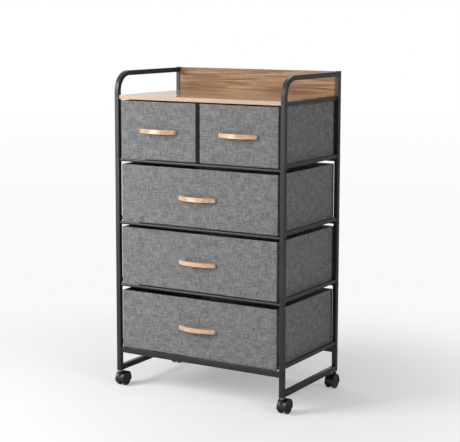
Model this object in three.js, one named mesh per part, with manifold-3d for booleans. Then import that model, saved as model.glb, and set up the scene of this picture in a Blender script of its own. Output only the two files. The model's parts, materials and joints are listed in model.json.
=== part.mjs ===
// Fabric drawer dresser: a steel tube frame on casters, with a wooden top and five fabric drawers.
// Millimetres. Z is up, the floor is at zero, and the drawers open towards -Y.
import * as THREE from 'three';
import { mergeVertices } from 'three/addons/utils/BufferGeometryUtils.js';
import Module from 'manifold-3d';

const wasm = await Module();
wasm.setup();

// Overall sizes
const frameWidth = 600;
const frameDepth = 362;
const armTop = 998.5;
const footHeight = 52;

// Clearances
const slideGap = 0.3;
const seatGap = 0.3;
const cutOverrun = 5;

// Main tube of the posts and arms
const postSize = 15;
const postCorner = 2.5;
const tubeWall = 1;
const bendRadius = 54;
const bendSteps = 10;
const tubeCornerSteps = 3;
const boreCornerSteps = 1;

// Tubes that tie the posts together
const railSize = 10;
const railHeight = 9;
const sideRailHeight = 12;
const railCorner = 1.6;
const roundRailCorner = 3;
const baseRailHeight = 17;
const lowFrontRailHeight = 17.5;
const lowFrontRailTop = 129;
const sideRailRise = 2;
const lowSideRailRise = 7.5;

// Tiers of drawers: how many, and the gap over the bins of each
const tierCount = 4;
const topBinGap = 4.5;
const binGap = 8.2;
const lowBinGap = 12.2;

// Wooden top
const boardThickness = 12;
const galleryHeight = 73.5;
const boardFrontInset = 4;
const boardGap = 0.3;
const backBoardThickness = 12;
const backBoardInset = 1.5;
const boardEdge = 1;
const edgeSteps = 2;
const boardRailDrop = 2.5;

// Fabric bins
const binSideGap = 8.5;
const binFrontInset = 6.5;
const binRearSeat = 8;
const lowBinHeight = 184;
const binWall = 2.5;
const binFrontWall = 5;
const binFloor = 2.5;
const binCorner = 3.5;
const binCornerSteps = 3;
const binHollowSteps = 2;
const dividerSize = 10;
const dividerGap = 1.5;
const dividerInset = 8;
const baseBoardThickness = 3;
const baseBoardGap = 1;

// Bow handles
const handleLength = 134;
const handleHeight = 13;
const handleThickness = 9;
const handleRise = 16;
const handleEnd = 7;
const handleFoot = 15;
const handleEdge = 1.5;
const handleShoulderShare = 0.75;
const handleCurveSteps = 9;

// Casters
const wheelRadius = 22;
const wheelWidth = 8;
const wheelInset = 6.6;
const wheelCorner = 1.4;
const wheelRim = 3.5;
const wheelDisc = 2.5;
const wheelHub = 6;
const wheelFacets = 24;
const stemFacets = 16;
const trail = 17;
const axleRadius = 2.5;
const turnGap = 0.3;
const hoodThickness = 1.7;
const hoodGap = 0.6;
const hoodDroop = Math.PI / 9;
const hoodCurveSteps = 9;
const webThickness = 9;
const bossRadius = 6.2;
const bossDepth = 24;
const stemRadius = 3.5;
const stemDepth = 18;
const flangeRadius = 6.5;
const flangeThickness = 3.4;
const plugHeight = 16;
const stemTip = 3;

// Caps in the open tops of the rear posts
const capThickness = 1.4;
const capDepth = 10;
const capEdge = 0.35;

// Places worked out from the sizes
const handleReach = handleRise + handleThickness - binFrontInset;
const frontPlane = (handleReach - frameDepth) / 2;
const rearPlane = frontPlane + frameDepth;
const outerX = frameWidth / 2;
const innerX = outerX - postSize;
const postX = outerX - postSize / 2;
const frontPostY = frontPlane + postSize / 2;
const rearPostY = rearPlane - postSize / 2;
const postBore = postSize - 2 * tubeWall;
const sideRun = frameDepth - 2 * postSize;
const sideMiddleY = frontPlane + frameDepth / 2;
const binFrontY = frontPlane + binFrontInset;
const binDepth = frameDepth - binFrontInset - (postSize + railSize) / 2 + binRearSeat;
const wideBinWidth = 2 * (innerX - binSideGap);
const smallBinWidth = wideBinWidth / 2 - dividerSize / 2 - dividerGap;
const boardTop = armTop - galleryHeight;
const boardBottom = boardTop - boardThickness;
const boardRailBottom = boardTop - boardRailDrop - sideRailHeight;
const flangeBottom = footHeight - flangeThickness;
const axleLength = 2 * (wheelInset + wheelWidth - wheelDisc);

// The tiers over the bottom one share the height that it leaves
const lowTierTop = lowFrontRailTop + slideGap + lowBinHeight + lowBinGap;
const sharedTop = boardBottom - topBinGap + binGap;
const tierPitch = (sharedTop - lowTierTop) / (tierCount - 1);
const binHeight = tierPitch - railHeight - slideGap - binGap;
const topTierFloor = boardBottom - topBinGap - binHeight - slideGap;

// Finishes
const finishes = {
  blackSteel: { color: 0x26272a, roughness: 0.5, metalness: 0.3 },
  blackPlastic: { color: 0x1b1b1d, roughness: 0.45, metalness: 0 },
  brightSteel: { color: 0xb8babd, roughness: 0.3, metalness: 0.9 },
  oak: { color: 0xb98f6e, roughness: 0.6, metalness: 0 },
  paleWood: { color: 0xe6bf95, roughness: 0.55, metalness: 0 },
  greyFabric: { color: 0x7f8083, roughness: 0.95, metalness: 0 },
  greyBoard: { color: 0x6a665f, roughness: 0.9, metalness: 0 },
};

function piece(name, geometry, finish) {
  const mesh = new THREE.Mesh(geometry, new THREE.MeshStandardMaterial(finishes[finish]));
  mesh.name = name;
  return mesh;
}

function placed(object, x, y, z) {
  object.position.set(x, y, z);
  return object;
}

// A rectangle with rounded corners, as a closed list of points round the middle
function roundedOutline(width, height, radius, steps) {
  const points = [];
  for (let corner = 0; corner < 4; corner += 1) {
    const start = corner * Math.PI / 2;
    const signX = corner === 0 || corner === 3 ? 1 : -1;
    const signY = corner < 2 ? 1 : -1;
    for (let step = 0; step <= steps; step += 1) {
      const angle = start + step / steps * Math.PI / 2;
      const x = signX * (width / 2 - radius) + radius * Math.cos(angle);
      const y = signY * (height / 2 - radius) + radius * Math.sin(angle);
      points.push(new THREE.Vector2(x, y));
    }
  }
  return points;
}

// The section of a rectangular tube, open down the middle
function tubeSection(width, height, corner) {
  const section = new THREE.Shape(roundedOutline(width, height, corner, tubeCornerSteps));
  const boreWidth = width - 2 * tubeWall;
  const boreHeight = height - 2 * tubeWall;
  const boreCorner = Math.max(corner - tubeWall, tubeWall / 2);
  const bore = roundedOutline(boreWidth, boreHeight, boreCorner, boreCornerSteps);
  section.holes.push(new THREE.Path(bore));
  return section;
}

function straightTube(width, height, corner, length) {
  const section = tubeSection(width, height, corner);
  const geometry = new THREE.ExtrudeGeometry(section, { depth: length, bevelEnabled: false });
  return geometry.translate(0, 0, -length / 2);
}

function tubeAlongX(depth, height, corner, length) {
  return straightTube(height, depth, corner, length).rotateY(Math.PI / 2);
}

function tubeAlongY(width, height, corner, length) {
  return straightTube(width, height, corner, length).rotateX(-Math.PI / 2);
}

// A slab with its edges eased all round, centred on the origin
function slab(width, depth, height, corner, edge) {
  const outline = new THREE.Shape(roundedOutline(width, depth, corner, tubeCornerSteps));
  const geometry = new THREE.ExtrudeGeometry(outline, {
    depth: height - 2 * edge,
    bevelThickness: edge,
    bevelSize: edge,
    bevelOffset: -edge,
    bevelSegments: edgeSteps,
  });
  return geometry.translate(0, 0, edge - height / 2);
}

function solidOf(geometry) {
  const bare = geometry.clone();
  bare.deleteAttribute('normal');
  bare.deleteAttribute('uv');
  const merged = mergeVertices(bare);
  return new wasm.Manifold(new wasm.Mesh({
    numProp: 3,
    vertProperties: merged.attributes.position.array,
    triVerts: new Uint32Array(merged.index.array),
  }));
}

function geometryOf(solid) {
  const mesh = solid.getMesh();
  const geometry = new THREE.BufferGeometry();
  geometry.setAttribute('position', new THREE.BufferAttribute(mesh.vertProperties, 3));
  geometry.setIndex(new THREE.BufferAttribute(mesh.triVerts, 1));
  const flat = geometry.toNonIndexed();
  flat.computeVertexNormals();
  return flat;
}

// The line of a front post: up from the foot, round the bend, and back along the arm
class ArmPostLine extends THREE.Curve {
  constructor() {
    super();
    this.stations = bendSteps + 2;
    this.bendCentre = new THREE.Vector3(0, bendRadius, armTop - postSize / 2 - bendRadius);
  }

  getPoint(t, target = new THREE.Vector3()) {
    const station = t * this.stations;
    const { y, z } = this.bendCentre;
    if (station <= 1) {
      return target.set(0, 0, THREE.MathUtils.lerp(footHeight, z, station));
    }
    if (station >= bendSteps + 1) {
      const armEnd = rearPlane - postSize - frontPostY;
      return target.set(0, THREE.MathUtils.lerp(y, armEnd, station - bendSteps - 1), z + bendRadius);
    }
    const angle = (station - 1) / bendSteps * Math.PI / 2;
    return target.set(0, y - bendRadius * Math.cos(angle), z + bendRadius * Math.sin(angle));
  }

  // Stations follow the bend, and not the distance along the post
  getUtoTmapping(u) {
    return u;
  }
}

function armPostGeometry() {
  const line = new ArmPostLine();
  const section = tubeSection(postSize, postSize, postCorner);
  return new THREE.ExtrudeGeometry(section, { steps: line.stations, extrudePath: line });
}

function rearPostGeometry() {
  const length = armTop - footHeight;
  const tube = straightTube(postSize, postSize, postCorner, length);
  return tube.translate(0, 0, footHeight + length / 2);
}

// A plug that fits in the bore of a post, standing on z = 0
function plugSolid(length) {
  const size = postBore - 2 * seatGap;
  const outline = new THREE.Shape(roundedOutline(size, size, postCorner, boreCornerSteps));
  return new THREE.ExtrudeGeometry(outline, { depth: length, bevelEnabled: false });
}

function postCapGeometry() {
  const plate = slab(postSize, postSize, capThickness, postCorner, capEdge);
  plate.translate(0, 0, armTop + capThickness / 2);
  const plug = plugSolid(capDepth + capThickness / 2);
  plug.translate(0, 0, armTop - capDepth);
  return geometryOf(solidOf(plate).add(solidOf(plug)));
}

const sides = [
  { name: 'left', sign: -1 },
  { name: 'right', sign: 1 },
];

// Each tier's floor, where its drawers rest on the front and rear rails, and what goes with it
function tierTable() {
  const tiers = [];
  for (let number = 1; number < tierCount; number += 1) {
    const floor = topTierFloor - (number - 1) * tierPitch;
    tiers.push({
      number,
      floor,
      railHeight,
      railCorner: roundRailCorner,
      binHeight,
      sideRailBottom: floor + sideRailRise,
    });
  }
  tiers.push({
    number: tierCount,
    floor: lowFrontRailTop,
    railHeight: lowFrontRailHeight,
    railCorner,
    binHeight: lowBinHeight,
    sideRailBottom: lowFrontRailTop + lowSideRailRise,
  });
  return tiers;
}

const tiers = tierTable();

// The rails of one side: the one under the edge of the wooden top, one for each tier, and the base
function sideRails() {
  const rails = tiers.map((tier) => ({
    name: `tier_${tier.number}_rail`,
    width: railSize,
    height: sideRailHeight,
    x: postX,
    bottom: tier.sideRailBottom,
  }));
  const boardRailX = innerX + railSize / 2;
  rails.push({
    name: 'board_rail',
    width: railSize,
    height: sideRailHeight,
    x: boardRailX,
    bottom: boardRailBottom,
  });
  rails.push({
    name: 'base_rail',
    width: postSize,
    height: baseRailHeight,
    x: postX,
    bottom: footHeight,
  });
  return rails;
}

function sideFrame(side) {
  const group = new THREE.Group();
  const x = side.sign * postX;
  const frontPost = piece(`${side.name}_front_post`, armPostGeometry(), 'blackSteel');
  group.add(placed(frontPost, x, frontPostY, 0));
  const rearPost = piece(`${side.name}_rear_post`, rearPostGeometry(), 'blackSteel');
  group.add(placed(rearPost, x, rearPostY, 0));
  const cap = piece(`${side.name}_post_cap`, postCapGeometry(), 'blackPlastic');
  group.add(placed(cap, x, rearPostY, 0));
  for (const rail of sideRails()) {
    const tube = tubeAlongY(rail.width, rail.height, railCorner, sideRun);
    const mesh = piece(`${side.name}_${rail.name}`, tube, 'blackSteel');
    group.add(placed(mesh, side.sign * rail.x, sideMiddleY, rail.bottom + rail.height / 2));
  }
  return group;
}

// The rails under the front and the rear of each tier's drawers
function crossRails() {
  const group = new THREE.Group();
  const rows = [
    { name: 'front_rail', y: frontPostY },
    { name: 'rear_rail', y: rearPostY },
  ];
  for (const tier of tiers) {
    for (const row of rows) {
      const tube = tubeAlongX(railSize, tier.railHeight, tier.railCorner, 2 * innerX);
      const rail = piece(`${row.name}_${tier.number}`, tube, 'blackSteel');
      group.add(placed(rail, 0, row.y, tier.floor - tier.railHeight / 2));
    }
  }
  return group;
}

function divider() {
  const length = boardBottom - topTierFloor;
  const tube = straightTube(dividerSize, railSize, railCorner, length);
  const y = frontPlane + dividerInset + railSize / 2;
  const post = piece('drawer_divider', tube, 'blackSteel');
  return placed(post, 0, y, topTierFloor + length / 2);
}

// The wooden top, and the back board that stands behind it and rises as high as the arms
function woodenTop() {
  const group = new THREE.Group();
  const width = 2 * (innerX - boardGap);
  const depth = frameDepth - boardFrontInset - backBoardInset - backBoardThickness;
  const board = slab(width, depth, boardThickness, 2 * boardEdge, boardEdge);
  const boardY = frontPlane + boardFrontInset + depth / 2;
  const boardZ = boardBottom + boardThickness / 2;
  group.add(placed(piece('top_board', board, 'oak'), 0, boardY, boardZ));
  const backHeight = armTop - boardBottom;
  const back = slab(width, backBoardThickness, backHeight, 2 * boardEdge, boardEdge);
  const backY = rearPlane - backBoardInset - backBoardThickness / 2;
  group.add(placed(piece('back_board', back, 'oak'), 0, backY, boardBottom + backHeight / 2));
  return group;
}

// An open fabric box with a stiffened front; its outer front face is at y = 0 and its floor at z = 0
function binGeometry(width, height) {
  const outline = new THREE.Shape(roundedOutline(width, binDepth, binCorner, binCornerSteps));
  const outer = new THREE.ExtrudeGeometry(outline, { depth: height, bevelEnabled: false });
  outer.translate(0, binDepth / 2, 0);
  const innerDepth = binDepth - binFrontWall - binWall;
  const innerWidth = width - 2 * binWall;
  const innerCorner = binCorner - binWall;
  const hollow = new THREE.Shape(roundedOutline(innerWidth, innerDepth, innerCorner, binHollowSteps));
  const inner = new THREE.ExtrudeGeometry(hollow, {
    depth: height + cutOverrun,
    bevelEnabled: false,
  });
  inner.translate(0, binFrontWall + innerDepth / 2, binFloor);
  return geometryOf(solidOf(outer).subtract(solidOf(inner)));
}

function baseBoardGeometry(width) {
  const boardWidth = width - 2 * (binWall + baseBoardGap);
  const boardDepth = binDepth - binFrontWall - binWall - 2 * baseBoardGap;
  const corner = binCorner - binWall;
  const outline = new THREE.Shape(roundedOutline(boardWidth, boardDepth, corner, binHollowSteps));
  const board = new THREE.ExtrudeGeometry(outline, {
    depth: baseBoardThickness,
    bevelEnabled: false,
  });
  return board.translate(0, binFrontWall + baseBoardGap + boardDepth / 2, binFloor);
}

// A bow handle: a curved bar whose two feet sit flat on the front of the bin
function handleGeometry() {
  const end = handleLength / 2;
  const foot = end - handleFoot;
  const crown = handleRise + handleThickness;
  const shoulder = handleRise * handleShoulderShare;
  const bow = new THREE.Shape();
  bow.moveTo(-end, 0);
  bow.lineTo(-foot, 0);
  bow.splineThru([
    new THREE.Vector2(-foot / 2, shoulder),
    new THREE.Vector2(0, handleRise),
    new THREE.Vector2(foot / 2, shoulder),
    new THREE.Vector2(foot, 0),
  ]);
  bow.lineTo(end, 0);
  bow.lineTo(end, handleEnd);
  bow.quadraticCurveTo(0, 2 * crown - handleEnd, -end, handleEnd);
  const geometry = new THREE.ExtrudeGeometry(bow, {
    depth: handleHeight - 2 * handleEdge,
    bevelThickness: handleEdge,
    bevelSize: handleEdge,
    bevelOffset: -handleEdge,
    bevelSegments: 1,
    curveSegments: handleCurveSteps,
  });
  geometry.translate(0, 0, handleEdge - handleHeight / 2);
  return geometry.rotateZ(Math.PI).rotateY(Math.PI);
}

function drawer(name, width, height) {
  const group = new THREE.Group();
  group.add(piece(`${name}_bin`, binGeometry(width, height), 'greyFabric'));
  group.add(piece(`${name}_base_board`, baseBoardGeometry(width), 'greyBoard'));
  group.add(placed(piece(`${name}_handle`, handleGeometry(), 'paleWood'), 0, 0, height / 2));
  return group;
}

// Two small drawers side by side in the top tier, and a wide one in each of the others
function drawers() {
  const group = new THREE.Group();
  const smallX = wideBinWidth / 2 - smallBinWidth / 2;
  for (const side of sides) {
    const small = drawer(`top_${side.name}`, smallBinWidth, binHeight);
    group.add(placed(small, side.sign * smallX, binFrontY, topTierFloor + slideGap));
  }
  for (const tier of tiers.slice(1)) {
    const wide = drawer(`tier_${tier.number}`, wideBinWidth, tier.binHeight);
    group.add(placed(wide, 0, binFrontY, tier.floor + slideGap));
  }
  return group;
}

// A round bar from a list of radius and height pairs, turned about Z
function turned(profile, facets) {
  const points = profile.map(([radius, height]) => new THREE.Vector2(radius, height));
  return new THREE.LatheGeometry(points, facets).rotateX(Math.PI / 2);
}

// A threaded stem with its round flange, screwed into the plug in the foot of the post
function stemGeometry() {
  const stem = turned([
    [0, flangeBottom - stemDepth],
    [stemRadius, flangeBottom - stemDepth],
    [stemRadius, flangeBottom],
    [flangeRadius, flangeBottom],
    [flangeRadius, footHeight],
    [stemRadius, footHeight],
    [stemRadius, footHeight + plugHeight + stemTip],
    [0, footHeight + plugHeight + stemTip],
  ], stemFacets);
  const plug = plugSolid(plugHeight).translate(0, 0, footHeight);
  return geometryOf(solidOf(stem).add(solidOf(plug)));
}

function alongX(geometry) {
  return geometry.rotateZ(Math.PI / 2);
}

// The moulded hood: a fender over both wheels, the web between them, the axle and the stem's boss
function hoodGeometry() {
  const innerRadius = wheelRadius + hoodGap;
  const outerRadius = innerRadius + hoodThickness;
  const halfWidth = wheelInset + wheelWidth;
  const fenderShape = new THREE.Shape();
  fenderShape.absarc(0, 0, outerRadius, -hoodDroop, Math.PI + hoodDroop);
  fenderShape.absarc(0, 0, innerRadius, Math.PI + hoodDroop, -hoodDroop, true);
  const fender = sideProfile(fenderShape, 2 * halfWidth);
  const webShape = new THREE.Shape();
  webShape.absarc(0, 0, (innerRadius + outerRadius) / 2, -hoodDroop, Math.PI + hoodDroop);
  const web = sideProfile(webShape, webThickness);
  const axle = alongX(new THREE.CylinderGeometry(axleRadius, axleRadius, axleLength, stemFacets));
  axle.translate(0, trail, wheelRadius);
  const bossTop = flangeBottom - seatGap;
  const boss = turned([
    [0, bossDepth],
    [bossRadius, bossDepth],
    [bossRadius, bossTop],
    [0, bossTop],
  ], stemFacets);
  const bore = turned([
    [0, flangeBottom - stemDepth - turnGap],
    [stemRadius + turnGap, flangeBottom - stemDepth - turnGap],
    [stemRadius + turnGap, bossTop + cutOverrun],
    [0, bossTop + cutOverrun],
  ], stemFacets);
  const body = solidOf(fender).add(solidOf(web)).add(solidOf(axle)).add(solidOf(boss));
  return geometryOf(body.subtract(solidOf(bore)));
}

// A side view of the caster, drawn round its axle and given a width
function sideProfile(shape, width) {
  const geometry = new THREE.ExtrudeGeometry(shape, {
    depth: width,
    bevelEnabled: false,
    curveSegments: hoodCurveSteps,
  });
  geometry.translate(0, 0, -width / 2);
  geometry.rotateX(Math.PI / 2).rotateZ(Math.PI / 2);
  return geometry.translate(0, trail, wheelRadius);
}

// A dished wheel, flat on its tread facets, with its plain face away from the hood's web
function wheelGeometry() {
  const tread = wheelRadius / Math.cos(Math.PI / wheelFacets);
  const bore = axleRadius + turnGap;
  const boreEnd = wheelWidth - wheelDisc + turnGap;
  const dish = wheelWidth - wheelDisc;
  const points = [
    [0, wheelWidth],
    [tread - wheelCorner, wheelWidth],
    [tread, wheelWidth - wheelCorner],
    [tread, wheelCorner],
    [tread - wheelCorner, 0],
    [wheelRadius - wheelRim, 0],
    [wheelRadius - wheelRim, dish],
    [wheelHub, dish],
    [wheelHub, 0],
    [bore, 0],
    [bore, boreEnd],
    [0, boreEnd],
  ];
  const profile = points.map(([radius, height]) => new THREE.Vector2(radius, -height));
  return new THREE.LatheGeometry(profile, wheelFacets, Math.PI / wheelFacets).rotateZ(Math.PI / 2);
}

function caster(corner) {
  const group = new THREE.Group();
  const frame = new THREE.Group();
  frame.add(piece(`${corner.name}_hood`, hoodGeometry(), 'blackPlastic'));
  const outerWheel = piece(`${corner.name}_wheel_1`, wheelGeometry(), 'blackPlastic');
  frame.add(placed(outerWheel, wheelInset, trail, wheelRadius));
  const innerWheel = piece(`${corner.name}_wheel_2`, wheelGeometry(), 'blackPlastic');
  innerWheel.rotation.z = Math.PI;
  frame.add(placed(innerWheel, -wheelInset, trail, wheelRadius));
  frame.rotation.z = corner.turn;
  group.add(frame);
  group.add(piece(`${corner.name}_stem`, stemGeometry(), 'brightSteel'));
  return placed(group, corner.x, corner.y, 0);
}

// The way that each caster trails at rest, turned from straight back
const corners = [
  { name: 'front_left', x: -postX, y: frontPostY, turn: 0 },
  { name: 'front_right', x: postX, y: frontPostY, turn: 0 },
  { name: 'rear_left', x: -postX, y: rearPostY, turn: Math.PI },
  { name: 'rear_right', x: postX, y: rearPostY, turn: Math.PI },
];

const dresser = new THREE.Group();
for (const side of sides) {
  dresser.add(sideFrame(side));
}
dresser.add(crossRails());
dresser.add(divider());
dresser.add(woodenTop());
dresser.add(drawers());
for (const corner of corners) {
  dresser.add(caster(corner));
}

export default dresser;
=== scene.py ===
"""A fabric drawer dresser on casters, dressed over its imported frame.

The frame gives every place. This script adds the camera, a pale studio and a finish for each
piece, and models the bins, handles, arm posts, front rails, board edges, casters and screws in
more detail. Lengths are metres, Z is up, and the drawers open towards -Y.
"""

import json
import logging
import math
from dataclasses import dataclass
from enum import Enum
from typing import Callable, Iterable, Sequence

import bmesh
import bpy
from mathutils import Matrix, Vector, noise


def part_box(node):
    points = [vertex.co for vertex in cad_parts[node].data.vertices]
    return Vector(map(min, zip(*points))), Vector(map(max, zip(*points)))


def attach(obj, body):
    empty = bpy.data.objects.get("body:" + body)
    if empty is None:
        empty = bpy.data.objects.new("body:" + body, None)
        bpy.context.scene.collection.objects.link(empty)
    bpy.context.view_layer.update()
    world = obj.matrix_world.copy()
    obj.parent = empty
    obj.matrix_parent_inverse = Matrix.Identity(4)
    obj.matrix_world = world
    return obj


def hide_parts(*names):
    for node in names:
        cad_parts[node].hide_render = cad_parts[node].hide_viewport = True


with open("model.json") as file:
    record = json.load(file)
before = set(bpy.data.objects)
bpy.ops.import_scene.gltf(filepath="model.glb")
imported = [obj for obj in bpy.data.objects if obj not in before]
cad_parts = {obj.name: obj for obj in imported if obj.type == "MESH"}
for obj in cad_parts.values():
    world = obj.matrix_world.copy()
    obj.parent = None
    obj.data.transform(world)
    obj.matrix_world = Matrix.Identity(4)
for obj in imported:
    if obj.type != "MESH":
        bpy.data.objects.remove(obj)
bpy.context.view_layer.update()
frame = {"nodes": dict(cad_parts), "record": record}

LOG = logging.getLogger("dresser")

Colour = tuple[float, float, float]
Point = tuple[float, float, float]
Span = tuple[float, float]
Material = bpy.types.Material
Piece = bpy.types.Object
Socket = bpy.types.NodeSocket
FaceTest = Callable[[bmesh.types.BMFace], bool]
EdgeTest = Callable[[bmesh.types.BMEdge], bool]

MILLI = 0.001
SAME = 1e-5  # places closer than this lie on one plane
MERGE = 1e-6  # points closer than this become one
LEVEL = 0.9  # a face whose normal rises by more than this looks up
FOLD_ANGLE = 1.0  # radians past which two faces of cloth meet in a fold
WAVE_TURNS = 20.0  # a wave texture of scale 1 turns by this many radians in a metre
CLOTH_SHIFT = 0.37  # parts the cloth maps of faces that look along different axes
WHITE: Colour = (1.0, 1.0, 1.0)
EVEN: Point = (1.0, 1.0, 1.0)  # coordinates that aren't stretched


class Axis(Enum):
    """The three axes of the frame, by the number of their coordinate."""

    X = 0
    Y = 1
    Z = 2

    @property
    def direction(self) -> Vector:
        """The unit vector along this axis."""
        return Vector([1.0 if number == self.value else 0.0 for number in range(3)])


class Reading(Enum):
    """The coordinates that a pattern reads, by their output of Texture Coordinate."""

    PLACE = "Object"
    CLOTH = "UV"
    DIRECTION = "Generated"


class Elements(Enum):
    """What edit mode selects."""

    POINTS = "VERT"
    EDGES = "EDGE"
    FACES = "FACE"


class NodeSheet:
    """The nodes of one material, or of the room round the scene, laid out from an empty sheet."""

    def __init__(self, name: str, room: bool = False) -> None:
        """Make the material or the room, and its output node.

        Args:
            name: Its name.
            room: True for the room, which is a world and not a material.
        """
        self.owner = bpy.data.worlds.new(name) if room else bpy.data.materials.new(name)
        self.owner.use_nodes = True
        self.tree = self.owner.node_tree
        self.tree.nodes.clear()
        self.output = self.add("ShaderNodeOutputWorld" if room else "ShaderNodeOutputMaterial")

    def add(self, kind: str, inputs: dict[str | int, Socket | Colour | float] | None = None,
            **settings: object) -> bpy.types.Node:
        """Add a node.

        Args:
            kind: The node's type name.
            inputs: What goes into its inputs, by their names or numbers.
            settings: Values for the node's own properties.

        Returns:
            The new node.
        """
        node = self.tree.nodes.new(kind)
        for name, value in settings.items():
            setattr(node, name, value)
        for name, value in (inputs or {}).items():
            self.join(value, node.inputs[name])
        return node

    def join(self, source: Socket | Colour | float, target: Socket) -> None:
        """Link an output to an input, or give the input a plain colour or number.

        Args:
            source: The output, the colour or the number.
            target: The input.
        """
        if isinstance(source, Socket):
            self.tree.links.new(source, target)
        else:
            target.default_value = (*source, 1.0) if isinstance(source, tuple) else source

    def place(self, scale: Point = EVEN, reading: Reading = Reading.PLACE) -> Socket:
        """Coordinates stretched along each axis.

        Args:
            scale: The factor along each axis.
            reading: The coordinates that are stretched.

        Returns:
            The socket that gives the coordinates.
        """
        source = self.add("ShaderNodeTexCoord").outputs[reading.value]
        mapping = self.add("ShaderNodeMapping", {"Vector": source})
        mapping.inputs["Scale"].default_value = scale
        return mapping.outputs["Vector"]

    def noise(self, place: Socket, scale: float, detail: float = 2.0, roughness: float = 0.5,
              distortion: float = 0.0) -> Socket:
        """A noise texture.

        Args:
            place: The coordinates it reads.
            scale: How many waves it has in a metre of those coordinates.
            detail: The number of finer layers.
            roughness: How strong the finer layers are.
            distortion: How far the pattern is warped.

        Returns:
            The socket with the grey value.
        """
        inputs = {"Vector": place, "Scale": scale, "Detail": detail, "Roughness": roughness,
                  "Distortion": distortion}
        return self.add("ShaderNodeTexNoise", inputs).outputs["Fac"]

    def combined(self, first: Socket, second: Socket, operation: str = "ADD") -> Socket:
        """Two grey values put together by a math operation."""
        node = self.add("ShaderNodeMath", {0: first, 1: second}, operation=operation)
        return node.outputs["Value"]

    def scaled(self, value: Socket, new: Span, old: Span = (0.0, 1.0),
               soft: bool = False) -> Socket:
        """A grey value moved from one range to another.

        Args:
            value: The socket with the value.
            new: What the ends of the old range become.
            old: The ends of the old range.
            soft: True to ease in and out at both ends.

        Returns:
            The socket with the moved value, which stays inside the new range.
        """
        inputs = {"Value": value, "From Min": old[0], "From Max": old[1], "To Min": new[0],
                  "To Max": new[1]}
        kind = "SMOOTHSTEP" if soft else "LINEAR"
        return self.add("ShaderNodeMapRange", inputs, interpolation_type=kind).outputs["Result"]

    def ramp(self, value: Socket, stops: Sequence[tuple[float, Colour]]) -> Socket:
        """A colour ramp.

        Args:
            value: The grey value it reads.
            stops: The place of each colour from 0 to 1, and the colour.

        Returns:
            The socket with the colour.
        """
        node = self.add("ShaderNodeValToRGB", {"Fac": value})
        elements = node.color_ramp.elements
        while len(elements) < len(stops):
            elements.new(0.5)
        for element, (position, colour) in zip(elements, stops):
            element.position = position
            element.color = (*colour, 1.0)
        return node.outputs["Color"]

    def mix(self, factor: Socket | float, first: Socket, second: Socket | Colour,
            blend: str = "MIX") -> Socket:
        """Two colours mixed by a grey value.

        Args:
            factor: The share of the second colour.
            first: The colour at 0.
            second: The colour at 1.
            blend: The way that the second is laid over the first.

        Returns:
            The socket with the mixed colour.
        """
        inputs = {"Factor": factor, "A": first, "B": second}
        node = self.add("ShaderNodeMix", inputs, data_type="RGBA", blend_type=blend)
        return node.outputs["Result"]

    def bump(self, height: Socket, depth: float, strength: float,
             under: Socket | None = None) -> Socket:
        """A bump from a grey value.

        Args:
            height: The grey value, 0 in the hollows and 1 on the tops.
            depth: The height of the tops in metres.
            strength: How much of the bump shows.
            under: Another bump that this one lies on.

        Returns:
            The socket with the normal.
        """
        inputs = {"Distance": depth, "Strength": strength, "Height": height}
        if under is not None:
            inputs["Normal"] = under
        return self.add("ShaderNodeBump", inputs).outputs["Normal"]

    def surface(self, **inputs: Socket | Colour | float) -> bpy.types.Node:
        """Add the main shader and join it to the output.

        Args:
            inputs: What goes into its inputs, with the spaces in their names as underscores.

        Returns:
            The shader node.
        """
        named = {name.replace("_", " "): value for name, value in inputs.items()}
        shader = self.add("ShaderNodeBsdfPrincipled", named)
        self.join(shader.outputs["BSDF"], self.output.inputs["Surface"])
        return shader


@dataclass(frozen=True)
class PowderCoat:
    """Satin black powder coat on steel, with a fine peel and a trace of dust."""

    name: str = "black_powder_coat"
    dark: Colour = (0.008, 0.008, 0.008)
    light: Colour = (0.014, 0.014, 0.015)
    roughness: Span = (0.34, 0.44)
    gloss: float = 0.5

    def build(self) -> Material:
        """Lay out the material.

        Returns:
            The material.
        """
        sheet = NodeSheet(self.name)
        place = sheet.place()
        cloud = sheet.noise(place, scale=14.0, detail=3.0)
        peel = sheet.noise(place, scale=1400.0, detail=1.0)
        sheet.surface(
            Base_Color=sheet.ramp(cloud, [(0.35, self.dark), (0.65, self.light)]),
            Roughness=sheet.scaled(cloud, self.roughness, (0.3, 0.7)),
            Normal=sheet.bump(peel, depth=0.12 * MILLI, strength=0.35),
            Specular_IOR_Level=self.gloss,
        )
        return sheet.owner


@dataclass(frozen=True)
class MouldedNylon:
    """Black moulded plastic with a faint spark-eroded grain."""

    name: str = "moulded_black_nylon"
    dark: Colour = (0.004, 0.004, 0.005)
    light: Colour = (0.009, 0.009, 0.011)
    roughness: Span = (0.28, 0.48)

    def build(self) -> Material:
        """Lay out the material.

        Returns:
            The material.
        """
        sheet = NodeSheet(self.name)
        place = sheet.place()
        cloud = sheet.noise(place, scale=60.0, detail=3.0)
        scuff = sheet.noise(sheet.place((1.0, 1.0, 6.0)), scale=160.0, detail=4.0, roughness=0.7)
        grain = sheet.noise(place, scale=2600.0, detail=0.0)
        sheet.surface(
            Base_Color=sheet.ramp(cloud, [(0.3, self.dark), (0.7, self.light)]),
            Roughness=sheet.scaled(scuff, self.roughness, (0.3, 0.75)),
            Normal=sheet.bump(grain, depth=0.05 * MILLI, strength=0.3),
            Specular_IOR_Level=0.5,
        )
        return sheet.owner


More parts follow.
